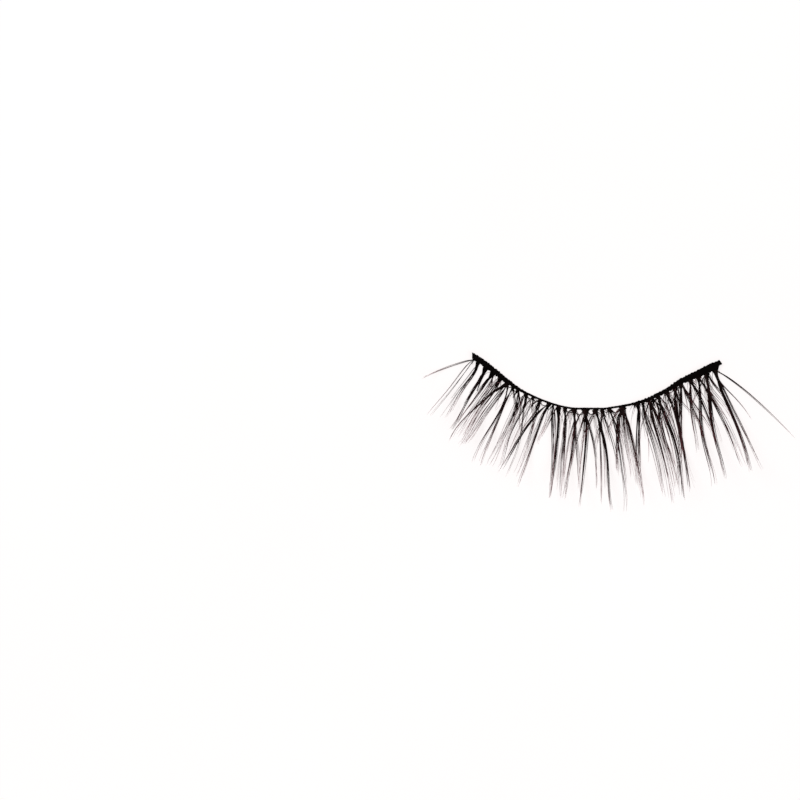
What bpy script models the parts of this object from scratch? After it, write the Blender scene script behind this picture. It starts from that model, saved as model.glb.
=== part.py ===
"""False eyelash strip, lying as it does on a table: a curved band and 45 tufts of lash fibre.

Metres, +Z up. The strip is seen from above in plan: +X runs along the band, +Y is the eyelid's side,
the lashes leave on the -Y side. The origin is the middle of the band's underside, which lies on z = 0.
"""

from math import hypot

import bmesh
import bpy

MM = 0.001

# ---------------------------------------------------------------- driving sizes, in millimetres
BAND_SHOULDER = 0.68        # where its upper edges start to round over, as a share of its height
BAND_CROWN = 0.25           # half width of its flat top, as a share of its width
BAND_STEP = 0.40            # spacing of its cross sections along X
LEFT_CUT = (0.0, -1.0)      # direction of the scissor cut at the left end
RIGHT_CUT = (0.60, -0.80)   # and at the right end, across the tab

TUFT_GAP = 0.09             # clearance between a tuft's root and the band
TUFT_THICK = 0.15           # a tuft's thickness at its root
TIP_THICK = 0.06            # and at its tip
LAYER_PITCH = 0.24          # height between the two layers that crossing tufts lie in
TUFT_RINGS = 9              # cross sections along a tuft
CURL_START = 0.42           # share of the lash length that lies flat before it curls up
CURL_RISE = 0.25            # height of a tip, as a share of the lash length
ROOT_SHARE, BELLY_SHARE, TIP_SHARE = 0.62, 1.0, 0.22   # a tuft's width along its length

# The band: x and y of its lid-side edge in plan, its width across, and its height off the table.
BAND_COLUMNS = ("x", "y_lid", "width", "height")
BAND = (
    (-14.15, 6.78, 0.74, 0.50),
    (-12.70, 5.87, 0.72, 0.50),
    (-11.30, 4.78, 0.70, 0.48),
    (-9.85, 3.58, 0.56, 0.44),
    (-8.40, 2.48, 0.41, 0.40),
    (-6.50, 1.48, 0.28, 0.37),
    (-4.55, 0.72, 0.27, 0.35),
    (-2.95, 0.29, 0.26, 0.34),
    (-1.70, 0.13, 0.26, 0.34),
    (-0.60, 0.13, 0.26, 0.34),
    (0.60, 0.13, 0.26, 0.34),
    (1.70, 0.13, 0.26, 0.34),
    (3.10, 0.33, 0.28, 0.34),
    (5.05, 0.72, 0.34, 0.36),
    (6.95, 1.36, 0.45, 0.39),
    (8.90, 2.34, 0.56, 0.43),
    (10.80, 3.58, 0.70, 0.47),
    (12.70, 4.53, 0.86, 0.50),
    (14.60, 5.48, 0.96, 0.50),
    (15.10, 5.66, 0.92, 0.50),
    (15.22, 5.70, 0.52, 0.46),
    (15.54, 5.81, 0.50, 0.44),
)

# How far the lashes reach from the band, by x of where they leave it.
REACH_COLUMNS = ("x", "reach")
REACH = (
    (-14.2, 7.5),
    (-9.0, 9.0),
    (-4.0, 11.0),
    (2.5, 12.5),
    (8.0, 11.6),
    (12.5, 10.6),
    (15.6, 10.8),
)

# The tufts, left to right: root on the band, tip in plan, how far the middle bows off the straight line
# (positive towards +X), width at the belly, and the layer (0 on the table, 1 above it).
TUFT_COLUMNS = ("root_x", "tip_x", "tip_y", "bow", "width", "layer")
TUFTS = (
    (-14.10, -19.8, 3.7, -0.15, 0.25, 0),
    (-14.00, -19.4, -1.1, 0.10, 0.40, 1),
    (-13.55, -17.4, -0.9, 0.15, 0.38, 0),
    (-12.70, -16.6, -2.2, 0.12, 0.50, 0),
    (-12.05, -15.6, -1.9, 0.00, 0.38, 0),
    (-11.15, -15.8, -2.8, -0.10, 0.38, 0),
    (-10.25, -16.7, -3.5, -0.50, 0.48, 1),
    (-10.05, -14.8, -3.8, -0.35, 0.48, 0),
    (-9.65, -14.0, -6.2, 0.32, 0.50, 1),
    (-9.20, -13.0, -6.4, -0.10, 0.42, 0),
    (-8.60, -12.2, -6.3, 0.30, 0.50, 0),
    (-7.70, -11.0, -7.3, 0.15, 0.48, 0),
    (-7.10, -9.9, -7.6, 0.00, 0.36, 0),
    (-6.10, -8.8, -7.6, 0.12, 0.48, 0),
    (-5.30, -10.3, -6.7, -0.30, 0.46, 1),
    (-5.15, -8.5, -8.6, 0.00, 0.42, 0),
    (-4.70, -4.8, -10.3, 0.20, 0.30, 1),
    (-3.80, -4.6, -10.3, 0.18, 0.50, 0),
    (-3.05, -3.5, -10.0, 0.00, 0.42, 0),
    (-1.90, -3.0, -9.9, 0.25, 0.42, 0),
    (-0.85, -1.3, -9.6, -0.60, 0.36, 1),
    (-0.50, -1.2, -11.4, 0.20, 0.46, 0),
    (-0.20, 0.8, -8.6, 0.45, 0.40, 1),
    (0.70, 2.5, -12.2, 0.40, 0.50, 1),
    (1.05, 1.3, -11.3, 0.10, 0.32, 0),
    (2.30, 4.4, -11.8, 0.40, 0.38, 1),
    (3.85, 3.2, -7.1, -0.20, 0.42, 0),
    (4.05, 5.5, -7.4, -0.10, 0.48, 1),
    (5.70, 6.4, -10.7, -0.45, 0.48, 0),
    (6.25, 8.9, -10.0, 0.50, 0.46, 0),
    (6.80, 10.0, -10.8, 0.15, 0.36, 1),
    (7.35, 10.3, -8.8, 0.10, 0.44, 0),
    (8.15, 11.0, -10.6, 0.85, 0.40, 0),
    (9.25, 10.5, -2.4, 0.05, 0.44, 1),
    (10.15, 11.8, -8.9, -0.10, 0.44, 0),
    (10.85, 11.0, -3.8, 0.00, 0.36, 1),
    (11.35, 13.1, -1.6, 0.20, 0.36, 1),
    (12.00, 12.9, -4.6, -0.10, 0.36, 0),
    (12.35, 14.6, -2.4, 0.30, 0.36, 1),
    (13.00, 14.8, -8.6, -0.42, 0.44, 0),
    (13.30, 18.1, -6.5, 0.30, 0.50, 1),
    (14.00, 16.1, -8.0, -0.40, 0.42, 0),
    (14.95, 19.0, -6.3, 0.12, 0.50, 0),
    (14.90, 20.3, -6.7, 0.00, 0.36, 1),
    (15.28, 24.1, -3.1, 0.37, 0.30, 1),
)


def blend(table, x, column):
    """A smooth curve through one column of a table whose first column is x."""
    last = len(table) - 1
    k = 0
    while k < last - 1 and x > table[k + 1][0]:
        k += 1

    def slope(i):
        low, high = max(i - 1, 0), min(i + 1, last)
        return (table[high][column] - table[low][column]) / (table[high][0] - table[low][0])

    span = table[k + 1][0] - table[k][0]
    t = min(max((x - table[k][0]) / span, 0.0), 1.0)
    start, end = table[k][column], table[k + 1][column]
    return (
        start * (1 + 2 * t) * (1 - t) ** 2
        + slope(k) * span * t * (1 - t) ** 2
        + end * t * t * (3 - 2 * t)
        + slope(k + 1) * span * t * t * (t - 1)
    )


def unit(x, y):
    size = hypot(x, y)
    return x / size, y / size


def band_sections():
    """Each section of the band: its lid-side point in plan, its direction across, its width and height."""
    stops = sorted(
        {row[0] for row in BAND}
        | {round(BAND[0][0] + BAND_STEP * i, 3) for i in range(int((BAND[-3][0] - BAND[0][0]) / BAND_STEP))}
    )
    xs = [stops[0]]
    for x in stops[1:]:
        if x - xs[-1] > 0.12 * BAND_STEP or x in {row[0] for row in BAND[-3:]}:
            xs.append(x)
    lid = [(x, blend(BAND, x, 1)) for x in xs]
    sections = []
    for i, (x, y) in enumerate(lid):
        before, after = lid[max(i - 1, 0)], lid[min(i + 1, len(lid) - 1)]
        along = unit(after[0] - before[0], after[1] - before[1])
        across = (along[1], -along[0])
        if i == 0:
            across = LEFT_CUT
        if i == len(lid) - 1:
            across = unit(*RIGHT_CUT)
        sections.append((x, y, across, blend(BAND, x, 2), blend(BAND, x, 3)))
    return sections


SECTIONS = band_sections()
LASH_EDGE = [(x + a[0] * w, y + a[1] * w) for x, y, a, w, h in SECTIONS]


def edge_point(x):
    """The point of the band's lash-side edge at this x."""
    points = LASH_EDGE
    if x <= points[0][0]:
        return points[0]
    for (x0, y0), (x1, y1) in zip(points, points[1:]):
        if x0 <= x <= x1:
            t = (x - x0) / (x1 - x0)
            return x, y0 + (y1 - y0) * t
    return points[-1]


def from_band(x, y):
    """Distance from the band's lash-side edge in plan, and the x of the nearest point there."""
    best = (1e9, 0.0)
    for (x0, y0), (x1, y1) in zip(LASH_EDGE, LASH_EDGE[1:]):
        dx, dy = x1 - x0, y1 - y0
        t = min(max(((x - x0) * dx + (y - y0) * dy) / (dx * dx + dy * dy), 0.0), 1.0)
        best = min(best, (hypot(x - x0 - dx * t, y - y0 - dy * t), x0 + dx * t))
    return best


def lift(x, y):
    """How high the lashes have curled off the table here: one surface that all of them follow."""
    distance, at = from_band(x, y)
    reach = blend(REACH, min(max(at, REACH[0][0]), REACH[-1][0]), 1)
    share = max(distance / reach - CURL_START, 0.0) / (1 - CURL_START)
    return CURL_RISE * reach * share * share


def width_share(t):
    """A tuft's width along its length: narrow at the knot, full at the belly, fine at the tip."""
    if t < 0.3:
        s = t / 0.3
        return ROOT_SHARE + (BELLY_SHARE - ROOT_SHARE) * s * s * (3 - 2 * s)
    s = (t - 0.3) / 0.7
    return BELLY_SHARE + (TIP_SHARE - BELLY_SHARE) * s ** 1.25


def tuft_rings(root_x, tip_x, tip_y, bow, width, layer):
    """The cross sections of one tuft, root to tip, six points each, in millimetres."""
    foot = edge_point(root_x)
    chord = unit(tip_x - foot[0], tip_y - foot[1])
    side = (-chord[1], chord[0])

    def path(t):
        off = 4 * bow * t * (1 - t)
        return (
            foot[0] + (tip_x - foot[0]) * t + side[0] * off,
            foot[1] + (tip_y - foot[1]) * t + side[1] * off,
        )

    # the root starts where its whole end face is clear of the band
    start = 0.0
    while True:
        here, ahead = path(start), path(start + 0.02)
        along = unit(ahead[0] - here[0], ahead[1] - here[1])
        half = width * ROOT_SHARE / 2
        corners = [(here[0] - along[1] * s * half, here[1] + along[0] * s * half) for s in (-1, 1)]
        if min(from_band(*c)[0] for c in corners) > TUFT_GAP and all(
            c[1] < edge_point(c[0])[1] or c[0] < LASH_EDGE[0][0] or c[0] > LASH_EDGE[-1][0] for c in corners
        ):
            break
        start += 0.002

    rings = []
    for i in range(TUFT_RINGS):
        t = start + (1 - start) * i / (TUFT_RINGS - 1)
        x, y = path(t)
        x1, y1 = path(t + 0.01)
        along = unit(x1 - x, y1 - y)
        across = (-along[1], along[0])
        half = width * width_share(t) / 2
        thick = TUFT_THICK + (TIP_THICK - TUFT_THICK) * t
        ring = []
        for share, height in ((-1, 0.5), (-0.55, 0), (0.55, 0), (1, 0.5), (0.55, 1), (-0.55, 1)):
            px, py = x + across[0] * half * share, y + across[1] * half * share
            ring.append((px, py, lift(px, py) + LAYER_PITCH * layer + thick * height))
        rings.append(ring)
    return rings


def band_rings():
    """The band's cross sections, six points each: flat underside, upright sides, rounded top."""
    rings = []
    for x, y, across, width, tall in SECTIONS:
        ring = []
        for share, height in (
            (0, 0), (1, 0), (1, BAND_SHOULDER),
            (0.5 + BAND_CROWN, 1), (0.5 - BAND_CROWN, 1), (0, BAND_SHOULDER),
        ):
            ring.append((x + across[0] * width * share, y + across[1] * width * share, tall * height))
        rings.append(ring)
    return rings


def loft(name, rings, material):
    """One closed solid through a row of rings, capped at both ends."""
    points = [(x * MM, y * MM, z * MM) for ring in rings for x, y, z in ring]
    n = len(rings[0])
    faces = []
    for i in range(len(rings) - 1):
        for j in range(n):
            a, b = i * n + j, i * n + (j + 1) % n
            faces.append((a, b, b + n, a + n))
    faces.append(tuple(reversed(range(n))))
    faces.append(tuple(range((len(rings) - 1) * n, len(rings) * n)))
    mesh = bpy.data.meshes.new(name)
    mesh.from_pydata(points, [], faces)
    mesh.validate()
    work = bmesh.new()
    work.from_mesh(mesh)
    bmesh.ops.recalc_face_normals(work, faces=work.faces)
    bmesh.ops.triangulate(work, faces=work.faces)
    work.to_mesh(mesh)
    work.free()
    mesh.shade_smooth()
    mesh.materials.append(material)
    thing = bpy.data.objects.new(name, mesh)
    bpy.context.scene.collection.objects.link(thing)
    return thing


def material(name, colour, roughness):
    made = bpy.data.materials.new(name)
    made.use_nodes = True
    shader = next(n for n in made.node_tree.nodes if n.type == "BSDF_PRINCIPLED")
    shader.inputs["Base Color"].default_value = (*colour, 1)
    shader.inputs["Roughness"].default_value = roughness
    shader.inputs["Metallic"].default_value = 0.0
    made.diffuse_color = (*colour, 1)
    return made


def main():
    for thing in list(bpy.data.objects):
        bpy.data.objects.remove(thing, do_unlink=True)
    coated_thread = material("coated_thread", (0.012, 0.011, 0.012), 0.55)
    lash_fibre = material("lash_fibre", (0.020, 0.015, 0.017), 0.42)
    loft("band", band_rings(), coated_thread)
    for i, row in enumerate(TUFTS):
        loft(f"tuft_{i + 1:02d}", tuft_rings(*row), lash_fibre)


main()
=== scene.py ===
from math import radians

import bpy
import numpy as np
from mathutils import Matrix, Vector, noise


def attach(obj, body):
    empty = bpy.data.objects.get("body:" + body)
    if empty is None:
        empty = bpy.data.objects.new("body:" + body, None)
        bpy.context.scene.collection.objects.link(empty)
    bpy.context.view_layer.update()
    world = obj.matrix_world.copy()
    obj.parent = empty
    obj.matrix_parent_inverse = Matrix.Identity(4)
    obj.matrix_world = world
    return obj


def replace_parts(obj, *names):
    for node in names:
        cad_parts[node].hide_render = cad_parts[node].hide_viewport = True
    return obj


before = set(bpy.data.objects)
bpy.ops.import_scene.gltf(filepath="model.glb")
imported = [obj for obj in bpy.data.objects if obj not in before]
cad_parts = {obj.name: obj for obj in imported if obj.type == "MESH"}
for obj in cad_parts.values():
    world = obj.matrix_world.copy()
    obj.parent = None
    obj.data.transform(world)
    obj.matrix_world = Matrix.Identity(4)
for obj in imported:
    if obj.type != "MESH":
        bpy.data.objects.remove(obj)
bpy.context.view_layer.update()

MM = 0.001

# ---------------------------------------------------------------- the view, in millimetres
PIXEL = 0.12                 # one pixel of the picture on the table
VIEW_X, VIEW_Y = -22.8, 1.032   # the point of the table under the picture's middle, (400, 400)
VIEW_HEIGHT = 1200.0
ORIGIN_PX = (590.0, 408.6)   # the model's origin in the picture

# ---------------------------------------------------------------- the strip's own sizes, as in the model
BAND = (                     # x, y of the lid-side edge, width, height
    (-14.15, 6.78, 0.74, 0.50),
    (-12.70, 5.87, 0.72, 0.50),
    (-11.30, 4.78, 0.70, 0.48),
    (-9.85, 3.58, 0.56, 0.44),
    (-8.40, 2.48, 0.41, 0.40),
    (-6.50, 1.48, 0.28, 0.37),
    (-4.55, 0.72, 0.27, 0.35),
    (-2.95, 0.29, 0.26, 0.34),
    (-1.70, 0.13, 0.26, 0.34),
    (-0.60, 0.13, 0.26, 0.34),
    (0.60, 0.13, 0.26, 0.34),
    (1.70, 0.13, 0.26, 0.34),
    (3.10, 0.33, 0.28, 0.34),
    (5.05, 0.72, 0.34, 0.36),
    (6.95, 1.36, 0.45, 0.39),
    (8.90, 2.34, 0.56, 0.43),
    (10.80, 3.58, 0.70, 0.47),
    (12.70, 4.53, 0.86, 0.50),
    (14.60, 5.48, 0.96, 0.50),
    (15.10, 5.66, 0.92, 0.50),
    (15.24, 5.71, 0.64, 0.46),
    (15.54, 5.81, 0.50, 0.44),
)
REACH = (                    # x, lash length there
    (-14.2, 7.5),
    (-9.0, 9.0),
    (-4.0, 11.0),
    (2.5, 12.5),
    (8.0, 11.6),
    (12.5, 10.6),
    (15.6, 10.8),
)
CURL_START, CURL_RISE, LAYER_PITCH = 0.42, 0.25, 0.24
LEFT_CUT, RIGHT_CUT = (0.0, -1.0), (0.60, -0.80)

FIBRE = 0.040                # radius of one lash fibre where it is thickest
TIP_SHARE = 0.26             # of that, left at its tip
RINGS, SIDES = 20, 6         # of one fibre's mesh
FULLER = 1.25                # fibres made for each one charted

# The strands, charted on the picture and given in its pixels: each is a few fibres that run together.
# tuft: which of the model's tufts it belongs to, or the loose piece. layer: 1 lies over 0.
# root, belly, tip: half of the strand's width there. short: how much of the length its shortest fibre lacks.
# thick: fibre thickness against FIBRE. points: places along its middle, from inside the band to the tip.
COLUMNS = ("tuft", "layer", "fibres", "root", "belly", "tip", "short", "thick", "points")
STRANDS = (
    (1, 0, 3, 0.8, 0.7, 0.9, 0.50, 0.90, ((474, 358.5), (463, 362.2), (452, 365.8), (440, 370.6), (424, 378.4))),
    (2, 1, 2, 0.5, 0.5, 0.5, 0.20, 0.72, ((474, 358), (464, 368), (455, 379.5), (443, 394.5), (425, 417))),
    (2, 1, 2, 0.5, 0.5, 0.5, 0.20, 0.72, ((475, 359), (466, 371), (458, 382), (447, 396), (430, 417))),
    (3, 0, 10, 1.8, 1.0, 2.0, 0.84, 0.92, ((479, 359.5), (474.5, 370.8), (467, 381.5), (458, 394), (445.5, 417))),
    (3, 0, 2, 1.0, 0.6, 0.6, 0.30, 0.70, ((479, 360), (475, 374), (466, 387), (459, 398), (452, 411))),
    (4, 0, 12, 1.9, 0.75, 1.3, 0.86, 1.22, ((486, 365), (481.5, 377), (474.5, 388.5), (467, 401), (452.5, 428))),
    (5, 0, 10, 1.9, 0.9, 1.2, 0.92, 0.98, ((493.5, 371.5), (487, 381), (480, 391), (471, 403.5), (458.5, 423))),
    (6, 0, 8, 1.2, 1.2, 1.0, 0.80, 0.68, ((496, 374), (489.5, 386), (481.5, 398), (471, 413), (457, 434))),
    (6, 0, 9, 1.2, 1.2, 1.2, 0.80, 0.68, ((499, 376), (493, 387), (486, 397), (475.5, 413), (462, 437))),
    (6, 0, 7, 1.2, 1.2, 1.0, 0.78, 0.68, ((502, 378), (496.5, 388), (489, 398), (479, 412), (461, 444))),
    (7, 1, 9, 1.2, 1.0, 1.0, 0.72, 0.92, ((508, 381.5), (493.5, 392), (479, 404.5), (465, 417.5), (449.5, 439))),
    (8, 0, 6, 1.0, 0.9, 1.0, 0.55, 0.80, ((506, 381.5), (497, 394.5), (487, 407.5), (477, 422.5), (465, 443))),
    (8, 0, 5, 1.0, 0.9, 0.9, 0.55, 0.76, ((508, 383), (500, 396), (490, 409), (480, 424), (468, 441.5))),
    (9, 1, 8, 1.0, 0.42, 0.9, 0.66, 0.99, ((508, 380.5), (506, 396), (499.5, 411.5), (488, 430.5), (473, 460))),
    (10, 0, 8, 1.2, 0.5, 0.9, 0.68, 0.86, ((515, 386), (506.5, 400), (500, 415.5), (492, 435.5), (481.5, 463.5))),
    (11, 0, 4, 0.8, 0.8, 1.2, 0.52, 0.82, ((516, 387.5), (517, 403), (511.5, 419), (501.5, 438), (488, 463))),
    (11, 0, 4, 0.8, 0.9, 1.2, 0.52, 0.78, ((520.5, 388.5), (518.5, 404), (511, 421), (502.5, 440), (493, 463))),
    (12, 0, 6, 1.3, 0.8, 0.9, 0.66, 0.88, ((525.5, 390.5), (525, 404.5), (516, 422), (508.5, 439), (499, 471))),
    (12, 0, 3, 0.8, 0.7, 0.8, 0.55, 0.80, ((531, 393.5), (526.5, 404), (518.5, 419), (511.5, 433), (504, 452))),
    (13, 0, 4, 0.8, 0.6, 0.7, 0.60, 0.80, ((529, 393), (523.5, 412), (521.5, 430), (516.5, 451), (507, 474))),
    (14, 0, 4, 1.3, 1.3, 1.2, 0.60, 0.74, ((540, 397.5), (537.5, 412), (532, 430), (525.5, 450), (516, 475))),
    (14, 0, 3, 0.6, 1.0, 1.0, 0.60, 0.68, ((538.5, 397), (534, 414), (530, 432), (524, 452), (514.5, 475))),
    (15, 1, 10, 0.7, 0.44, 0.8, 0.60, 1.26, ((549.5, 401.5), (538, 413.2), (527.5, 426.2), (516.5, 443), (503, 466))),
    (16, 0, 7, 0.8, 0.75, 0.8, 0.50, 0.88, ((549, 402), (542, 418.5), (535, 438), (528, 458), (519, 483))),
    (16, 0, 3, 0.6, 0.8, 0.9, 0.50, 0.66, ((547.5, 401.5), (538.5, 422), (530.5, 441), (522.5, 459), (514, 479))),
    (17, 1, 4, 0.6, 0.5, 0.4, 0.30, 0.95, ((552.6, 403), (552.0, 420), (552.3, 447), (551.8, 470), (549.8, 494))),
    (17, 1, 4, 0.5, 0.9, 0.8, 0.35, 0.60, ((554, 403.5), (555, 422), (554.6, 442), (553.3, 462), (550.5, 488))),
    (18, 0, 10, 1.5, 0.7, 0.4, 0.32, 1.03, ((558.5, 404), (558.4, 421), (556.8, 443), (554.2, 468), (550.8, 496))),
    (19, 0, 7, 1.4, 0.8, 0.8, 0.32, 1.00, ((565, 405.5), (565.1, 424), (562.8, 451), (561, 470), (560.6, 494))),
    (19, 0, 3, 0.6, 0.7, 0.8, 0.20, 0.68, ((564, 405.5), (564.5, 428), (561.5, 452), (558.8, 474), (556.5, 493))),
    (19, 0, 3, 0.8, 0.6, 0.8, 0.25, 0.66, ((566, 405.5), (565, 430), (563.8, 452), (563.2, 472), (565, 493))),
    (20, 0, 8, 1.4, 0.8, 0.7, 0.34, 1.00, ((574.5, 407), (574.8, 424), (572.6, 446), (569.3, 467), (564.5, 495))),
    (20, 0, 3, 0.6, 0.6, 0.7, 0.35, 0.75, ((577, 407.5), (572.5, 427), (568.5, 442), (566, 460), (562.5, 482))),
    (21, 1, 4, 0.8, 0.6, 0.6, 0.40, 0.85, ((583, 408), (579, 416.5), (575.5, 426), (572.5, 438), (569, 455))),
    (21, 1, 4, 0.8, 0.6, 0.7, 0.40, 0.85, ((586, 408), (582.5, 422), (577, 439), (573, 454), (568, 476))),
    (21, 1, 5, 0.7, 0.6, 0.6, 0.30, 0.90, ((575.5, 407.5), (575, 425), (577, 446), (578.5, 467), (580, 493))),
    (22, 0, 9, 1.5, 0.9, 0.8, 0.36, 1.08, ((586, 408), (586.6, 426), (585.2, 449), (583.2, 473), (580.3, 503))),
    (22, 0, 3, 0.8, 0.7, 0.7, 0.30, 0.70, ((585, 408), (583.5, 432), (581.5, 450), (579.5, 467), (578, 485))),
    (23, 1, 6, 0.9, 0.8, 0.7, 0.38, 1.00, ((583, 408), (588.3, 424), (593, 442), (595.8, 461), (597, 486))),
    (24, 1, 9, 0.9, 0.5, 0.7, 0.40, 1.06, ((593, 408.5), (600, 426), (605.2, 447), (607.7, 471), (611, 508))),
    (25, 0, 4, 0.8, 0.7, 0.6, 0.25, 0.80, ((598, 408.5), (599.5, 426), (600.8, 450), (601.4, 474), (600.8, 504))),
    (25, 0, 3, 0.8, 0.6, 0.5, 0.30, 0.70, ((600, 408.5), (602.3, 432), (604.3, 454), (605, 470), (605.3, 488))),
    (26, 1, 6, 0.8, 0.7, 0.6, 0.28, 0.92, ((606, 408), (614.3, 424), (619.4, 446), (623.1, 470), (627, 508))),
    (26, 1, 4, 0.8, 0.9, 1.0, 0.35, 0.80, ((602, 408.5), (606.5, 424), (611.8, 439), (615.7, 454), (619, 474))),
    (27, 0, 9, 1.7, 0.8, 1.3, 0.56, 1.00, ((622.5, 405), (618.6, 421), (617.5, 436), (616.8, 451), (616.6, 470))),
    (28, 1, 5, 0.9, 1.2, 1.3, 0.32, 0.74, ((622.5, 405), (625, 421), (628.3, 438), (632.2, 455), (639, 484))),
    (28, 1, 7, 1.0, 1.3, 0.8, 0.30, 0.84, ((624, 405), (629, 427), (634.2, 448), (639, 470), (643.5, 501))),
    (28, 1, 4, 0.8, 1.0, 1.2, 0.40, 0.70, ((622.5, 405), (622.8, 422), (625, 440), (627.8, 456), (630, 474))),
    (28, 1, 3, 0.8, 0.8, 0.9, 0.40, 0.64, ((621, 405.5), (620.3, 424), (621.5, 440), (623.7, 456), (626, 472))),
    (29, 0, 8, 1.8, 0.75, 1.0, 0.44, 1.08, ((638, 402), (638.4, 419), (637.7, 438), (637.4, 456), (638.5, 482))),
    (29, 0, 4, 0.8, 0.6, 0.6, 0.35, 0.82, ((640, 401.5), (639.8, 420), (639.8, 438), (640.4, 454), (641.5, 473))),
    (30, 0, 8, 1.7, 1.4, 1.2, 0.30, 0.90, ((642, 401), (647.6, 423), (654.5, 443.5), (659.8, 464), (664.5, 494))),
    (31, 1, 6, 1.2, 1.5, 1.3, 0.30, 0.85, ((646, 399.5), (654, 423), (660.8, 445.5), (666.5, 468), (673, 500))),
    (32, 0, 8, 1.3, 1.5, 1.3, 0.30, 0.87, ((650, 397.5), (657.5, 419.5), (664.8, 441.5), (671.3, 461.5), (677.5, 484))),
    (32, 0, 4, 1.0, 1.0, 0.9, 0.42, 0.85, ((655, 395.5), (659, 412), (662.5, 430.5), (668.5, 449.5), (675, 469))),
    (33, 0, 11, 1.4, 1.1, 1.0, 0.42, 1.17, ((657.5, 394), (666.3, 418.5), (674, 440), (679, 464), (682.5, 498))),
    (33, 0, 4, 1.2, 1.1, 0.9, 0.45, 0.75, ((661, 392.5), (667.5, 409), (673.5, 425.5), (677.5, 441), (680.5, 460))),
    (34, 1, 7, 1.2, 1.0, 0.7, 0.32, 1.00, ((666.5, 390), (671.2, 405), (675.5, 420.5), (679, 436), (682.5, 453))),
    (35, 0, 11, 1.3, 1.1, 0.8, 0.28, 1.18, ((675, 386), (676, 409), (679.8, 432.5), (684.3, 457), (688.5, 489))),
    (35, 0, 5, 1.1, 1.1, 0.6, 0.38, 0.85, ((678, 384.5), (678.6, 412), (680, 437), (679.7, 458), (677.3, 486))),
    (36, 1, 8, 1.1, 0.9, 0.7, 0.30, 1.10, ((681, 383), (680.9, 400), (680.6, 418), (681, 435), (682.8, 453))),
    (37, 1, 7, 0.9, 0.8, 0.8, 0.36, 1.02, ((681.5, 383), (687.5, 395.5), (693.5, 409), (699, 423), (703, 437))),
    (37, 1, 4, 0.8, 0.8, 0.8, 0.36, 0.85, ((684, 382), (692.5, 402), (701, 414.5), (708.5, 426), (715, 441))),
    (38, 0, 7, 1.1, 0.9, 0.8, 0.45, 1.00, ((690, 379.5), (690.8, 396), (692.2, 412), (694.6, 428), (698, 450))),
    (39, 1, 7, 0.9, 0.8, 0.8, 0.42, 1.00, ((690.5, 379.5), (698.5, 395), (705.5, 410), (711, 425), (716, 443))),
    (40, 0, 9, 1.0, 0.9, 0.9, 0.22, 1.02, ((698.5, 376), (700, 400), (701.2, 425), (706, 449), (714, 482))),
    (41, 1, 10, 1.0, 1.0, 1.5, 0.34, 0.96, ((699.5, 375.5), (710.5, 396.5), (721.8, 416.5), (731.3, 437), (741, 463))),
    (42, 0, 10, 1.1, 0.80, 0.75, 0.20, 1.22, ((706.5, 372), (709, 396), (711.7, 422), (717.3, 447.5), (725, 477))),
    (43, 0, 18, 1.3, 0.66, 0.45, 0.34, 1.40, ((715, 369), (723.3, 394.5), (734, 419), (743, 443), (749.3, 467))),
    (44, 1, 7, 0.8, 0.9, 1.0, 0.42, 0.84, ((715.5, 369), (729, 401), (740.5, 424), (750.5, 445), (761, 467))),
    (45, 1, 4, 0.5, 0.4, 0.3, 0.45, 1.12, ((712.5, 368.5), (731, 380), (750, 395), (770, 413), (792, 434.5))),
    ("loose_left", 0, 3, 0.6, 0.8, 0.9, 0.40, 0.66, ((537, 396.5), (529, 408.5), (521.5, 422), (515, 436), (508, 454))),
    ("loose_left", 0, 2, 0.8, 0.9, 0.9, 0.40, 0.66, ((531, 394), (527, 411), (522.5, 426), (516, 444), (510, 462))),
    ("loose_left", 0, 2, 0.8, 0.9, 1.0, 0.40, 0.66, ((520, 388.5), (514, 406), (506, 424), (499, 442), (491, 460))),
    ("loose_left", 0, 2, 0.5, 0.9, 1.0, 0.30, 0.62, ((504, 380), (490, 395), (477, 411), (469, 425), (461, 444))),
    ("loose_middle", 0, 4, 0.8, 0.7, 0.8, 0.25, 0.66, ((554, 403.5), (550, 416), (544.5, 428), (537.5, 443))),
    ("loose_middle", 0, 3, 0.8, 0.7, 0.8, 0.25, 0.62, ((557, 404), (550.5, 420), (546, 428), (540, 438))),
    ("loose_middle", 0, 3, 0.8, 0.6, 0.6, 0.35, 0.80, ((573, 407), (568.5, 413.5), (565.5, 422), (563, 436))),
    ("loose_middle", 1, 5, 0.8, 0.8, 0.8, 0.35, 0.90, ((597, 408.5), (592, 417), (587.5, 427), (582.5, 443))),
    ("loose_middle", 0, 4, 0.8, 0.7, 0.7, 0.35, 0.85, ((604.5, 408.5), (601, 421), (598, 433), (595, 450))),
    ("loose_middle", 0, 3, 0.8, 0.7, 0.8, 0.40, 0.75, ((619, 406), (614, 417), (609, 429), (605, 443))),
    ("loose_middle", 1, 3, 0.8, 0.7, 0.8, 0.40, 0.75, ((612, 407), (616, 418), (620.5, 431), (624, 447))),
    ("loose_middle", 1, 5, 0.8, 0.5, 0.6, 0.35, 0.95, ((608.5, 407.5), (612.5, 417), (616, 426.5), (617.6, 438), (618, 452))),
    ("loose_left", 0, 3, 0.6, 0.7, 0.8, 0.35, 0.80, ((523, 390), (520.5, 403), (514.5, 419), (508, 434))),
    ("loose_left", 0, 3, 0.6, 0.7, 0.8, 0.35, 0.80, ((512, 386), (515, 400), (515, 415), (511, 430))),
    ("loose_left", 0, 3, 0.6, 0.7, 0.8, 0.35, 0.80, ((526, 391.5), (521, 405), (519.5, 420), (520, 434))),
    ("loose_left", 0, 3, 0.6, 0.7, 0.8, 0.35, 0.80, ((543, 399.5), (536, 411), (526.5, 423), (518, 437))),
    ("loose_left", 1, 3, 0.6, 0.7, 0.8, 0.35, 0.80, ((535, 396), (532.5, 408), (533.5, 420), (532, 434))),
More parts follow.
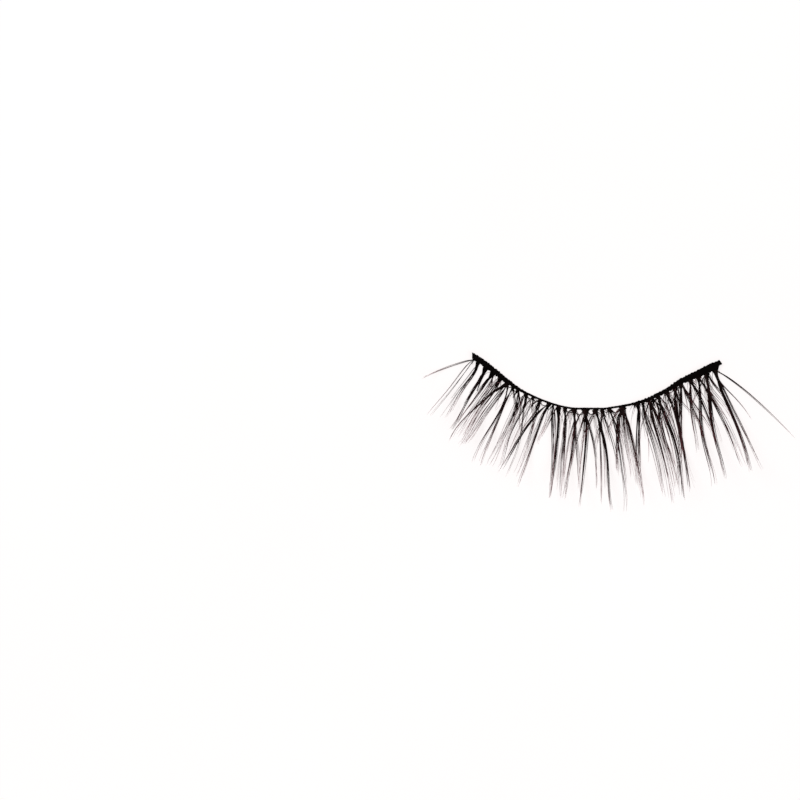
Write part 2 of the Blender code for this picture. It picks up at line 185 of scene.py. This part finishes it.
    ("loose_right", 0, 4, 0.8, 0.9, 0.9, 0.40, 0.85, ((655, 395.5), (661, 411), (667, 428), (672, 445), (677.5, 467))),
    ("loose_right", 1, 2, 0.8, 0.8, 0.8, 0.35, 0.80, ((663.5, 391), (665.5, 404), (667, 418), (667.5, 434))),
    ("loose_right", 1, 6, 0.8, 0.45, 0.8, 0.30, 1.10, ((658.5, 393.5), (660, 403), (660.6, 411), (660, 418), (657.6, 430))),
    ("loose_right", 0, 3, 0.8, 0.8, 0.8, 0.40, 0.90, ((649.5, 397.5), (652.2, 407), (655.6, 416), (660.4, 427))),
    ("loose_right", 1, 4, 0.8, 0.6, 0.6, 0.35, 1.00, ((681.5, 383), (685.5, 390.5), (689.5, 397.5), (693, 406))),
    ("loose_right", 1, 2, 0.8, 0.8, 0.8, 0.35, 0.80, ((671, 387.5), (668, 402), (663.5, 417), (660, 434))),
    ("loose_right", 0, 2, 0.8, 0.8, 0.8, 0.35, 0.80, ((678, 384.5), (674.5, 398), (669.5, 413), (665, 430))),
    ("loose_right", 0, 2, 0.8, 0.8, 0.8, 0.35, 0.80, ((668, 389), (673, 400), (677, 413), (679.5, 430))),
    ("loose_right", 1, 3, 0.8, 0.8, 0.8, 0.35, 0.85, ((648, 398.5), (646.5, 411), (642.5, 424), (640.5, 440))),
    ("loose_right", 0, 2, 0.6, 0.5, 0.5, 0.25, 0.66, ((642, 401), (645.5, 419), (648.4, 438), (649, 464))),
    ("loose_right", 0, 3, 0.8, 0.8, 0.8, 0.40, 0.80, ((656, 395), (652, 409), (650.5, 424), (651, 440))),
    ("loose_right", 0, 3, 0.6, 0.6, 0.6, 0.35, 0.80, ((679, 385), (682.5, 402), (691, 411.5), (699, 424))),
    ("loose_right", 0, 3, 0.7, 0.7, 0.7, 0.35, 0.82, ((704, 373.5), (700, 386), (694, 398), (689.5, 408))),
    ("loose_right", 0, 2, 0.6, 0.6, 0.8, 0.20, 0.58, ((681, 383.5), (682, 440), (688, 467), (696, 491))),
    ("loose_right", 0, 6, 0.9, 0.5, 0.6, 0.40, 1.05, ((707.5, 371.5), (711.5, 381), (717, 388.5), (725, 398))),
    ("loose_right", 1, 4, 0.9, 1.0, 1.0, 0.40, 0.72, ((706.5, 372), (711.5, 391), (720, 401), (731, 419))),
    ("loose_right", 1, 4, 0.9, 0.7, 0.9, 0.40, 0.84, ((706.5, 372), (709, 392), (717, 404.5), (728, 420))),
    ("loose_right", 1, 2, 0.6, 0.6, 0.8, 0.30, 0.60, ((707, 371.5), (710, 410), (717, 425.5), (724, 443))),
    ("loose_right", 1, 2, 0.5, 0.6, 0.6, 0.30, 0.84, ((715.5, 369), (720, 381.5), (729.5, 392), (741, 404), (753.5, 421))),
)

# The knots that tie the lashes on, charted the same way. half: half of the knot's width at the band's edge, and
# deep: how far it draws out along the strand, in pixels. crossing: short fibres that leave it aslant.
# loop: how far the loop of thread to the next knot hangs down, 0 for none.
KNOTS = (                    # x, half, deep, crossing, loop
    (473.4, 0.8, 2, 0, 0),
    (478.0, 2.0, 8, 0, 0),
    (485.5, 2.8, 11, 0, 0),
    (492.5, 2.5, 8, 3, 0),
    (500.0, 2.4, 5, 4, 0),
    (507.0, 2.6, 6, 3, 2.6),
    (513.0, 1.6, 4, 3, 2.6),
    (517.5, 1.5, 4, 2, 0),
    (526.0, 2.2, 4, 3, 2.4),
    (533.0, 1.6, 4, 3, 2.4),
    (540.0, 1.7, 5, 4, 3.4),
    (549.0, 2.4, 5, 4, 0),
    (553.2, 0.9, 3, 1, 0),
    (558.5, 2.4, 14, 3, 0),
    (565.0, 2.0, 7, 4, 3.4),
    (574.0, 3.0, 6, 9, 5.0),
    (585.5, 4.0, 7, 9, 4.6),
    (595.0, 3.0, 6, 10, 3.6),
    (602.0, 2.4, 4, 6, 3.0),
    (609.0, 2.2, 4, 6, 4.2),
    (622.5, 4.3, 6, 12, 0),
    (634.6, 1.3, 1.5, 4, 2.0),
    (638.2, 1.8, 10, 3, 0),
    (642.8, 1.6, 5, 3, 0),
    (648.5, 1.7, 4, 5, 2.2),
    (652.5, 1.5, 4, 5, 2.6),
    (658.5, 1.8, 7, 5, 0),
    (667.0, 2.2, 5, 8, 3.0),
    (675.0, 2.3, 7, 7, 2.6),
    (681.0, 2.2, 6, 8, 0),
    (690.5, 2.4, 6, 8, 0),
    (698.5, 2.4, 6, 7, 0),
    (706.5, 3.0, 6, 6, 0),
    (715.0, 2.9, 7, 2, 0),
)

# Places where the fibres of a strand stick together in a short dark clump: where it starts and ends, half width.
CLUMPS = (
    ("loose_left", (517.4, 402), (516.2, 409), 1.0),
    ("loose_left", (514.2, 411), (512.8, 417), 1.05),
    ("loose_right", (658.3, 412), (659.6, 424), 1.1),
    ("loose_right", (675.4, 408), (677.4, 423), 1.3),
    ("loose_right", (681.6, 437), (683.2, 450), 1.3),
    ("loose_right", (708.3, 389), (711.3, 398), 1.2),
)


# ---------------------------------------------------------------- curves and places

def blend(table, x, column):
    """A smooth curve through one column of a table whose first column is x."""
    xs = [row[0] for row in table]
    last = len(table) - 1
    k = min(max(int(np.searchsorted(xs, x)) - 1, 0), last - 1)

    def slope(i):
        low, high = max(i - 1, 0), min(i + 1, last)
        return (table[high][column] - table[low][column]) / (xs[high] - xs[low])

    span = xs[k + 1] - xs[k]
    t = min(max((x - xs[k]) / span, 0.0), 1.0)
    return (
        table[k][column] * (1 + 2 * t) * (1 - t) ** 2
        + slope(k) * span * t * (1 - t) ** 2
        + table[k + 1][column] * t * t * (3 - 2 * t)
        + slope(k + 1) * span * t * t * (t - 1)
    )


def soft(t):
    t = np.clip(t, 0, 1)
    return t * t * (3 - 2 * t)


def band_sections(step):
    """Arrays along the band: lid edge, direction across, width, height."""
    xs = sorted(set(np.round(np.arange(BAND[0][0], BAND[-1][0], step), 4)) | {row[0] for row in BAND})
    xs = np.array([x for i, x in enumerate(xs) if i == 0 or x - xs[i - 1] > 0.2 * step or x == xs[-1]])
    lid = np.array([(x, blend(BAND, x, 1)) for x in xs])
    along = np.gradient(lid, axis=0)
    along /= np.linalg.norm(along, axis=1)[:, None]
    across = np.stack([along[:, 1], -along[:, 0]], 1)
    # the cut ends turn from the square section over the last half millimetre
    for end, cut, where in ((0, LEFT_CUT, xs - xs[0]), (-1, RIGHT_CUT, xs[-1] - xs)):
        cut = np.array(cut) / np.hypot(*cut)
        w = 1 - soft(where / 0.5)
        across = across * (1 - w[:, None]) + cut * w[:, None]
    across /= np.linalg.norm(across, axis=1)[:, None]
    width = np.array([blend(BAND, x, 2) for x in xs])
    height = np.array([blend(BAND, x, 3) for x in xs])
    return lid, across, width, height


LID, ACROSS, WIDTH, HEIGHT = band_sections(0.2)
EDGE = LID + ACROSS * WIDTH[:, None]


def lift(points):
    """Height of the surface that the lashes follow, at plan points in millimetres."""
    a, b = EDGE[:-1], EDGE[1:]
    d = b - a
    rel = points[:, None] - a[None]
    t = np.clip((rel * d).sum(2) / (d * d).sum(1), 0, 1)
    near = a[None] + d[None] * t[..., None]
    far = np.linalg.norm(points[:, None] - near, axis=2)
    best = far.argmin(1)
    pick = np.arange(len(points))
    distance, at = far[pick, best], near[pick, best, 0]
    reach = np.array([blend(REACH, min(max(x, REACH[0][0]), REACH[-1][0]), 1) for x in at])
    share = np.maximum(distance / reach - CURL_START, 0) / (1 - CURL_START)
    return CURL_RISE * reach * share * share


def on_table(px):
    """Plan position in millimetres of a pixel of the picture, for something on the table."""
    px = np.asarray(px, float)
    return np.stack([(px[:, 0] - ORIGIN_PX[0]) * PIXEL, (ORIGIN_PX[1] - px[:, 1]) * PIXEL], 1)


def seen_at(px, height):
    """The same for something at a height in millimetres, which the camera sees a little further out."""
    flat = on_table(px)
    middle = np.array([VIEW_X, VIEW_Y])
    return middle + (flat - middle) * (1 - np.asarray(height) / VIEW_HEIGHT)[:, None]


def through(points, share):
    """Places along a smooth line through the charted points, at shares of its length."""
    points = np.asarray(points, float)
    gaps = np.linalg.norm(np.diff(points, axis=0), axis=1)
    at = np.concatenate([[0], np.cumsum(gaps)]) / gaps.sum()
    return np.stack([np.polyval(np.polyfit(at, column, len(points) - 1), share) for column in points.T], 1)


# ---------------------------------------------------------------- meshes

class Bunch:
    """Many closed tapered tubes gathered into one mesh, with how far along each point lies and which tube it is on."""

    def __init__(self):
        self.points, self.faces, self.along, self.which = [], [], [], []
        self.count = 0

    def tube(self, path, wide, tall, sides, tag, along=None, point_end=True):
        """path: (n, 3). wide and tall: half sizes across, in plan and upright. The far end comes to a point."""
        n = len(path)
        tangent = np.gradient(path, axis=0)
        tangent /= np.linalg.norm(tangent, axis=1)[:, None]
        side = np.stack([-tangent[:, 1], tangent[:, 0], np.zeros(n)], 1)
        side /= np.linalg.norm(side, axis=1)[:, None]
        up = np.cross(tangent, side)
        turn = np.linspace(0, 2 * np.pi, sides, endpoint=False)
        ring = (
            path[:, None]
            + side[:, None] * (np.cos(turn)[None, :, None] * wide[:, None, None])
            + up[:, None] * (np.sin(turn)[None, :, None] * tall[:, None, None])
        )
        base = self.count
        self.points.append(ring.reshape(-1, 3))
        share = np.linspace(0, 1, n) if along is None else along
        self.along.append(np.repeat(share, sides))
        for i in range(n - 1):
            for j in range(sides):
                a, b = base + i * sides + j, base + i * sides + (j + 1) % sides
                self.faces.append((a, b, b + sides, a + sides))
        start = base + n * sides
        ends = np.array([path[0], path[-1] + tangent[-1] * (wide[-1] if point_end else 0)])
        self.points.append(ends)
        self.along.append(np.array([share[0], share[-1]]))
        for j in range(sides):
            self.faces.append((start, base + (j + 1) % sides, base + j))
            a, b = base + (n - 1) * sides + j, base + (n - 1) * sides + (j + 1) % sides
            self.faces.append((start + 1, a, b))
        self.which.append(np.full(n * sides + 2, tag))
        self.count += n * sides + 2

    def piece(self, name, slot, finish):
        mesh = bpy.data.meshes.new(name)
        points = np.concatenate(self.points) * MM
        mesh.from_pydata(points.tolist(), [], self.faces)
        for label, data in (("along", self.along), ("strand", self.which)):
            layer = mesh.attributes.new(label, "FLOAT", "POINT")
            layer.data.foreach_set("value", np.concatenate(data).astype(np.float32))
        mesh.validate()
        mesh.shade_smooth()
        mesh.materials.append(finish)
        thing = bpy.data.objects.new(name, mesh)
        bpy.context.scene.collection.objects.link(thing)
        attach(thing, "root")
        return thing


def tie_point(x, away):
    """Where a strand that leaves the band's lash edge at this x of the picture, this way, starts inside the band."""
    at = (x - ORIGIN_PX[0]) * PIXEL
    edge = np.array([x, ORIGIN_PX[1] - np.interp(at, EDGE[:, 0], EDGE[:, 1]) / PIXEL])
    return edge - away * 0.5 * np.interp(at, EDGE[:, 0], WIDTH) / PIXEL


def band_height(x):
    """How tall the band is at this x of the picture."""
    return np.interp((x - ORIGIN_PX[0]) * PIXEL, LID[:, 0], HEIGHT)


def fibre(bunch, rng, points, layer, aside, end, thick):
    """One fibre of a strand, from inside the band to its tip. aside: how far beside the middle at root, belly, tip."""
    s = np.linspace(0, 1, RINGS)
    share = s * end
    core = through(points, share)
    tangent = np.gradient(core, axis=0)
    tangent /= np.linalg.norm(tangent, axis=1)[:, None]
    side = np.stack([-tangent[:, 1], tangent[:, 0]], 1)
    wave = rng.normal(0, 0.10) * np.sin(2 * np.pi * (share * rng.uniform(0.8, 1.8) + rng.random()))
    root, belly, tip = aside
    off = root * (1 - share / 0.35) * np.maximum(1 - share, 0) + belly * share / 0.35 * (1 - share) / 0.65
    off = np.where(share < 1e-9, root, off) + tip * share * (share - 0.35) / 0.65 + wave
    px = core + side * off[:, None]
    height = np.zeros(RINGS)
    for _ in range(2):
        plan = seen_at(px, height)
        height = lift(plan)
    # it starts at the nearest knot, and is on its own line after a fifth of its way
    tied, half = min(KNOTS, key=lambda row: abs(row[0] - points[0][0]))[:2]
    tied += min(max(root, -1.2), 1.2) * half * 0.7
    leaving = np.array(points[1]) - np.array(points[0])
    knot = on_table([tie_point(tied, leaving / np.linalg.norm(leaving))])[0]
    tall = band_height(tied)
    away = np.clip(1 - share / 0.18, 0, 1) ** 1.3
    plan = plan + (knot - plan[0]) * away[:, None]
    level = LAYER_PITCH * layer + rng.uniform(0.065, 0.15)
    drop = soft(1 - share / 0.10)
    z = (lift(plan) + level) * (1 - drop) + rng.uniform(0.3, 0.7) * tall * drop
    radius = FIBRE * thick * (1 + 0.35 * np.exp(-share / 0.13) - (1 - TIP_SHARE) * s ** 1.3) * np.minimum(1, 0.45 + (1 - s) / 0.05 * 0.55)
    paler = min(max(0.5 + 1.1 * (0.95 - thick) + rng.uniform(-0.25, 0.25), 0), 1)
    bunch.tube(np.column_stack([plan, z]), radius, radius, SIDES, paler, along=share)


def strand(bunch, rng, layer, fibres, root, belly, tip, short, thick, points):
    """The fibres of one strand, side by side at the root and crossing over a little on the way."""
    fibres = max(2, int(round(fibres * FULLER)))
    for i in range(fibres):
        place = 0.0 if fibres == 1 else -1 + 2 * (i + rng.uniform(0.0, 1.0)) / fibres
        later = 0.6 * place + rng.normal(0, 0.45)
        last = 0.6 * later + rng.normal(0, 0.6)
        end = 1.05 - (0.09 if i % 3 == 1 else 1.1 * short) * rng.random()
        fibre(bunch, rng, points, layer, (root * place, 1.8 * belly * later, 2.0 * tip * last), end, thick * rng.uniform(0.74, 1.24))


def knot_start(x):
    """Where this knot's strands start inside the band, and which way they leave it, in pixels."""
    row = min((r[-1] for r in STRANDS if r[2] > 4), key=lambda points: abs(points[0][0] - x))
    away = np.array(row[1]) - np.array(row[0])
    away = away / np.linalg.norm(away)
    return tie_point(x, away), away


def clumps(pieces):
    """The short dark clumps, one spindle each, lying among the fibres."""
    for k, (side, start, end, half) in enumerate(CLUMPS):
        share = np.linspace(0, 1, 12)
        plan = on_table(np.array(start) + (np.array(end) - np.array(start)) * share[:, None])
        spindle = half * PIXEL * (0.15 + 0.85 * np.sin(np.pi * share) ** 0.7)
        level = lift(plan) + 0.16
        pieces[side].tube(np.column_stack([plan, level]), spindle, np.minimum(spindle, 0.07), 8, 0.1 * k, along=0.1 * share)


def crossing_fibres(pieces):
    """Short fine fibres that leave each knot aslant and cross those of the knots beside it, the first ones close
    under the band, the others further out."""
    rng = np.random.default_rng(77)
    for x, _, _, crossing, _ in KNOTS:
        start, away = knot_start(x)
        side = "loose_left" if x < 545 else "loose_middle" if x < 615 else "loose_right"
        bunch = pieces.setdefault(side, Bunch())
        for k in range(crossing):
            close = k < crossing / 2
            slant = radians((rng.uniform(34, 56) if close else rng.uniform(12, 32)) * (1 if k % 2 else -1))
            turned = np.array([away[0] * np.cos(slant) - away[1] * np.sin(slant), away[0] * np.sin(slant) + away[1] * np.cos(slant)])
            length = rng.uniform(9, 17) if close else rng.uniform(18, 40)
            first = start + (turned * 0.8 + away * 0.2) * length * 0.45
            last = first + (turned * 0.45 + away * 0.55) * length * 0.55
            fibre(bunch, rng, (start, first, last), k % 2, (0.6 * rng.normal(), 0, 0), 1.0, rng.uniform(0.65, 0.9))


# ---------------------------------------------------------------- materials

def shader(name, roughness, specular):
    made = bpy.data.materials.new(name)
    made.use_nodes = True
    tree = made.node_tree
    principled = next(n for n in tree.nodes if n.type == "BSDF_PRINCIPLED")
    principled.inputs["Roughness"].default_value = roughness
    principled.inputs["Specular IOR Level"].default_value = specular
    return made, tree, principled


def node(tree, kind, **values):
    made = tree.nodes.new(kind)
    for key, value in values.items():
        if key in made.inputs:
            made.inputs[key].default_value = value
        else:
            setattr(made, key, value)
    return made


def ramp(tree, stops):
    made = tree.nodes.new("ShaderNodeValToRGB")
    cells = made.color_ramp.elements
    while len(cells) < len(stops):
        cells.new(0.5)
    for cell, (at, colour) in zip(cells, stops):
        cell.position = at
        cell.color = (*colour, 1)
    return made


def fibre_material():
    """Black synthetic fibre: near black where it is thick, warmer and browner towards its fine tip."""
    made, tree, principled = shader("lash_fibre_fine", 0.45, 0.045)
    link = tree.links.new
    along = node(tree, "ShaderNodeAttribute", attribute_name="along")
    strand = node(tree, "ShaderNodeAttribute", attribute_name="strand")
    place = node(tree, "ShaderNodeTexCoord")
    scaled = node(tree, "ShaderNodeMapping")
    scaled.inputs["Scale"].default_value = (1000, 1000, 1000)
    link(place.outputs["Object"], scaled.inputs["Vector"])
    grain = node(tree, "ShaderNodeTexNoise", Scale=3.5, Detail=4.0, Roughness=0.6)
    link(scaled.outputs["Vector"], grain.inputs["Vector"])
    # tone along the fibre, paler on the thin fibres than on the thick ones
    shift = node(tree, "ShaderNodeMath", operation="MULTIPLY_ADD")
    shift.inputs[1].default_value = 0.70
    link(strand.outputs["Fac"], shift.inputs[0])
    link(along.outputs["Fac"], shift.inputs[2])
    lower = node(tree, "ShaderNodeMath", operation="SUBTRACT")
    lower.inputs[1].default_value = 0.36
    link(shift.outputs[0], lower.inputs[0])
    tone = ramp(tree, (
        (0.00, (0.0115, 0.0058, 0.0050)),
        (0.35, (0.0300, 0.0140, 0.0130)),
        (0.65, (0.0950, 0.0320, 0.0335)),
        (0.85, (0.2250, 0.0780, 0.0850)),
        (1.00, (0.4600, 0.1800, 0.2000)),
    ))
    link(lower.outputs[0], tone.inputs["Fac"])
    mottle = node(tree, "ShaderNodeMix", data_type="RGBA", blend_type="MULTIPLY")
    mottle.inputs["Factor"].default_value = 0.45
    link(tone.outputs["Color"], mottle.inputs["A"])
    link(grain.outputs["Fac"], mottle.inputs["B"])
    link(mottle.outputs["Result"], principled.inputs["Base Color"])
    gloss = node(tree, "ShaderNodeMapRange")
    gloss.inputs["To Min"].default_value = 0.34
    gloss.inputs["To Max"].default_value = 0.58
    link(grain.outputs["Fac"], gloss.inputs["Value"])
    link(gloss.outputs["Result"], principled.inputs["Roughness"])
    scratch = node(tree, "ShaderNodeTexNoise", Scale=24.0, Detail=2.0, Roughness=0.5)
    link(scaled.outputs["Vector"], scratch.inputs["Vector"])
    bump = node(tree, "ShaderNodeBump", Strength=0.25, Distance=0.000008)
    link(scratch.outputs["Fac"], bump.inputs["Height"])
    link(bump.outputs["Normal"], principled.inputs["Normal"])
    return made


def band_material():
    """Black thread under dried adhesive: a soft satin, glossier where the coat has pooled."""
    made, tree, principled = shader("band_coated_thread", 0.5, 0.03)
    link = tree.links.new
    place = node(tree, "ShaderNodeTexCoord")
    scaled = node(tree, "ShaderNodeMapping")
    scaled.inputs["Scale"].default_value = (1000, 1000, 1000)
    link(place.outputs["Object"], scaled.inputs["Vector"])
    pooled = node(tree, "ShaderNodeTexNoise", Scale=1.6, Detail=3.0, Roughness=0.55)
    fine = node(tree, "ShaderNodeTexNoise", Scale=14.0, Detail=5.0, Roughness=0.65)
    for n in (pooled, fine):
        link(scaled.outputs["Vector"], n.inputs["Vector"])
    tone = ramp(tree, (
        (0.30, (0.0018, 0.0010, 0.0008)),
        (0.55, (0.0030, 0.0016, 0.0014)),
        (0.80, (0.0060, 0.0034, 0.0030)),
    ))
    link(fine.outputs["Fac"], tone.inputs["Fac"])
    link(tone.outputs["Color"], principled.inputs["Base Color"])
    gloss = node(tree, "ShaderNodeMapRange")
    gloss.inputs["From Min"].default_value = 0.3
    gloss.inputs["From Max"].default_value = 0.7
    gloss.inputs["To Min"].default_value = 0.34
    gloss.inputs["To Max"].default_value = 0.66
    link(pooled.outputs["Fac"], gloss.inputs["Value"])
    link(gloss.outputs["Result"], principled.inputs["Roughness"])
    bump = node(tree, "ShaderNodeBump", Strength=0.5, Distance=0.00002)
    link(fine.outputs["Fac"], bump.inputs["Height"])
    link(bump.outputs["Normal"], principled.inputs["Normal"])
    return made


def table_material():
    """A lit white table: it throws its own light, so that next to no shadow shows."""
    made, tree, principled = shader("white_light_table", 0.8, 0.1)
    link = tree.links.new
    place = node(tree, "ShaderNodeTexCoord")
    cloud = node(tree, "ShaderNodeTexNoise", Scale=18.0, Detail=2.0)
    link(place.outputs["Object"], cloud.inputs["Vector"])
    tone = ramp(tree, ((0.3, (0.34, 0.34, 0.34)), (0.7, (0.36, 0.36, 0.36))))
    link(cloud.outputs["Fac"], tone.inputs["Fac"])
    link(tone.outputs["Color"], principled.inputs["Base Color"])
    principled.inputs["Emission Color"].default_value = (1.0, 0.955, 0.95, 1)
    principled.inputs["Emission Strength"].default_value = 0.81
    return made


# ---------------------------------------------------------------- the camera first

camera = bpy.data.cameras.new("camera")
camera.sensor_width = 36.0
camera.lens = 36.0 * VIEW_HEIGHT / (800 * PIXEL)
camera.clip_start, camera.clip_end = 0.1, 10.0
viewer = bpy.data.objects.new("camera", camera)
viewer.location = (VIEW_X * MM, VIEW_Y * MM, VIEW_HEIGHT * MM)
bpy.context.scene.collection.objects.link(viewer)
bpy.context.scene.camera = viewer

# ---------------------------------------------------------------- lashes

FINE = fibre_material()
COAT = band_material()

pieces = {}
for k, (tuft, layer, *rest) in enumerate(STRANDS):
    strand(pieces.setdefault(tuft, Bunch()), np.random.default_rng(100 + k), layer, *rest)
crossing_fibres(pieces)
clumps(pieces)
for tuft, bunch in pieces.items():
    if isinstance(tuft, str):
        bunch.piece(tuft, "lash", FINE)
    else:
        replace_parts(bunch.piece(f"lash_{tuft:02d}", "lash", FINE), f"tuft_{tuft:02d}")


# ---------------------------------------------------------------- the band

def band_piece():
    """The coated thread: a two-ply twist in the thin middle, smooth and lumpy with adhesive at the ends."""
    lid, across, width, height = band_sections(0.07)
    steps = np.linalg.norm(np.diff(lid, axis=0), axis=1)
    run = np.concatenate([[0], np.cumsum(steps)])
    sides = 20
    turn = np.linspace(0, 2 * np.pi, sides, endpoint=False)
    points, faces = [], []
    for i in range(len(lid)):
        coated = soft((width[i] - 0.24) / 0.2)
        power = 0.55 + 0.25 * (1 - coated)
        for angle in turn:
            c, s = np.cos(angle), np.sin(angle)
            u = 0.5 + 0.5 * np.sign(c) * abs(c) ** power
            v = 0.5 + 0.5 * np.sign(s) * abs(s) ** power
            ply = 0.5 + 0.5 * np.cos(2 * (angle - run[i] / 0.42 * np.pi))
            shrink = 1 - 0.11 * ply * (1 - 0.75 * coated)
            u = 0.5 + (u - 0.5) * shrink
            v = 0.5 + (v - 0.5) * (1 - 0.10 * ply)
            spot = lid[i] + across[i] * width[i] * u
            place = Vector((spot[0] * 2.2, spot[1] * 2.2, v * height[i] * 2.2))
            lump = noise.noise(place) * 0.018 + noise.noise(place * 3.1) * 0.007
            lump += coated * (0.030 * np.cos(run[i] / 0.40 * 2 * np.pi + 2.5 * noise.noise(place * 0.6)) + 0.085 * noise.noise(place * 1.6))
            spot = spot + across[i] * (u - 0.5) * 2 * lump
            z = max(0.004, v * height[i] + (v - 0.5) * 2 * lump - 0.01)
            points.append((spot[0] * MM, spot[1] * MM, z * MM))
    n = len(lid)
    for i in range(n - 1):
        for j in range(sides):
            a, b = i * sides + j, i * sides + (j + 1) % sides
            faces.append((a, a + sides, b + sides, b))
    for i, flip in ((0, False), (n - 1, True)):
        middle = np.mean(points[i * sides:(i + 1) * sides], axis=0)
        points.append(tuple(middle))
        m = len(points) - 1
        for j in range(sides):
            a, b = i * sides + j, i * sides + (j + 1) % sides
            faces.append((m, b, a) if flip else (m, a, b))
    mesh = bpy.data.meshes.new("coated_band")
    mesh.from_pydata(points, [], faces)
    mesh.validate()
    mesh.shade_smooth()
    mesh.materials.append(COAT)
    thing = bpy.data.objects.new("coated_band", mesh)
    bpy.context.scene.collection.objects.link(thing)
    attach(thing, "root")
    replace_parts(thing, "band")
    return thing


band_piece()


def root_webs():
    """The knots: where strands leave the band, thread and adhesive draw out along them in a small flared web."""
    webs = Bunch()
    rng = np.random.default_rng(31)
    for k, (x, half, deep, _, loop) in enumerate(KNOTS):
        start, away = knot_start(x)
        tall = band_height(x)
        wide_band = np.interp((x - ORIGIN_PX[0]) * PIXEL, EDGE[:, 0], WIDTH)
        far = np.linspace(0, wide_band * 0.5 + deep * 2.2 * PIXEL, 16)
        plan = on_table(start[None] + away[None] * far[:, None] / PIXEL)
        past = np.maximum(far - wide_band * 0.5, 0)
        out = soft(0.2 + far / (wide_band * 0.5) * 0.8)
        wide = 0.03 + out * half * PIXEL * rng.uniform(1.0, 1.2) * np.exp(-past / (deep * PIXEL * 0.75))
        tallness = 0.03 + 0.12 * np.exp(-past / 0.24)
        lay = lift(plan) + 0.14 + rng.uniform(0, 0.1)
        z = tall * 0.5 * (1 - soft(far / 0.6)) + lay * soft(far / 0.6)
        webs.tube(np.column_stack([plan, np.maximum(z, tallness + 0.005)]), wide, tallness, 10, rng.random())
        if loop:
            beside, turned = knot_start(KNOTS[k + 1][0])
            share = np.linspace(0, 1, 18)[:, None]
            hang = (away + turned) / np.linalg.norm(away + turned)
            sag = (4 * share * (1 - share)) ** 0.6 * (loop + 1.2)
            plan = on_table(start * (1 - share) + beside * share + hang * sag)
            thread = np.full(18, 0.05) * (1 + 0.25 * np.sin(40 * share[:, 0]))
            z = tall * 0.5 + (0.16 - tall * 0.5) * np.sin(np.pi * share[:, 0])
            webs.tube(np.column_stack([plan, z]), thread, thread, 8, rng.random())
    return webs.piece("root_webs", "band", COAT)


root_webs()

# ---------------------------------------------------------------- table, light

half = 1.5
mesh = bpy.data.meshes.new("table_top")
mesh.from_pydata([(-half, -half, 0), (half, -half, 0), (half, half, 0), (-half, half, 0)], [], [(0, 1, 2, 3)])
mesh.materials.append(table_material())
table = bpy.data.objects.new("table_top", mesh)
bpy.context.scene.collection.objects.link(table)


def lamp(name, place, aim, size, power):
    light = bpy.data.lights.new(name, "AREA")
    light.shape = "DISK"
    light.size = size
    light.energy = power
    thing = bpy.data.objects.new(name, light)
    thing.location = place
    thing.rotation_mode = "QUATERNION"
    thing.rotation_quaternion = (Vector(aim) - Vector(place)).to_track_quat("-Z", "Y")
    bpy.context.scene.collection.objects.link(thing)


lamp("key", (-0.55, 0.45, 0.75), (0, 0, 0), 0.5, 3.0)
lamp("fill", (0.60, -0.40, 0.75), (0, 0, 0), 0.7, 1.5)

world = bpy.data.worlds.new("studio")
world.use_nodes = True
sky = next(n for n in world.node_tree.nodes if n.type == "BACKGROUND")
sky.inputs["Color"].default_value = (1.0, 1.0, 1.0, 1)
sky.inputs["Strength"].default_value = 0.35
bpy.context.scene.world = world
bpy.context.scene.view_settings.view_transform = "Standard"
bpy.context.scene.view_settings.look = "None"
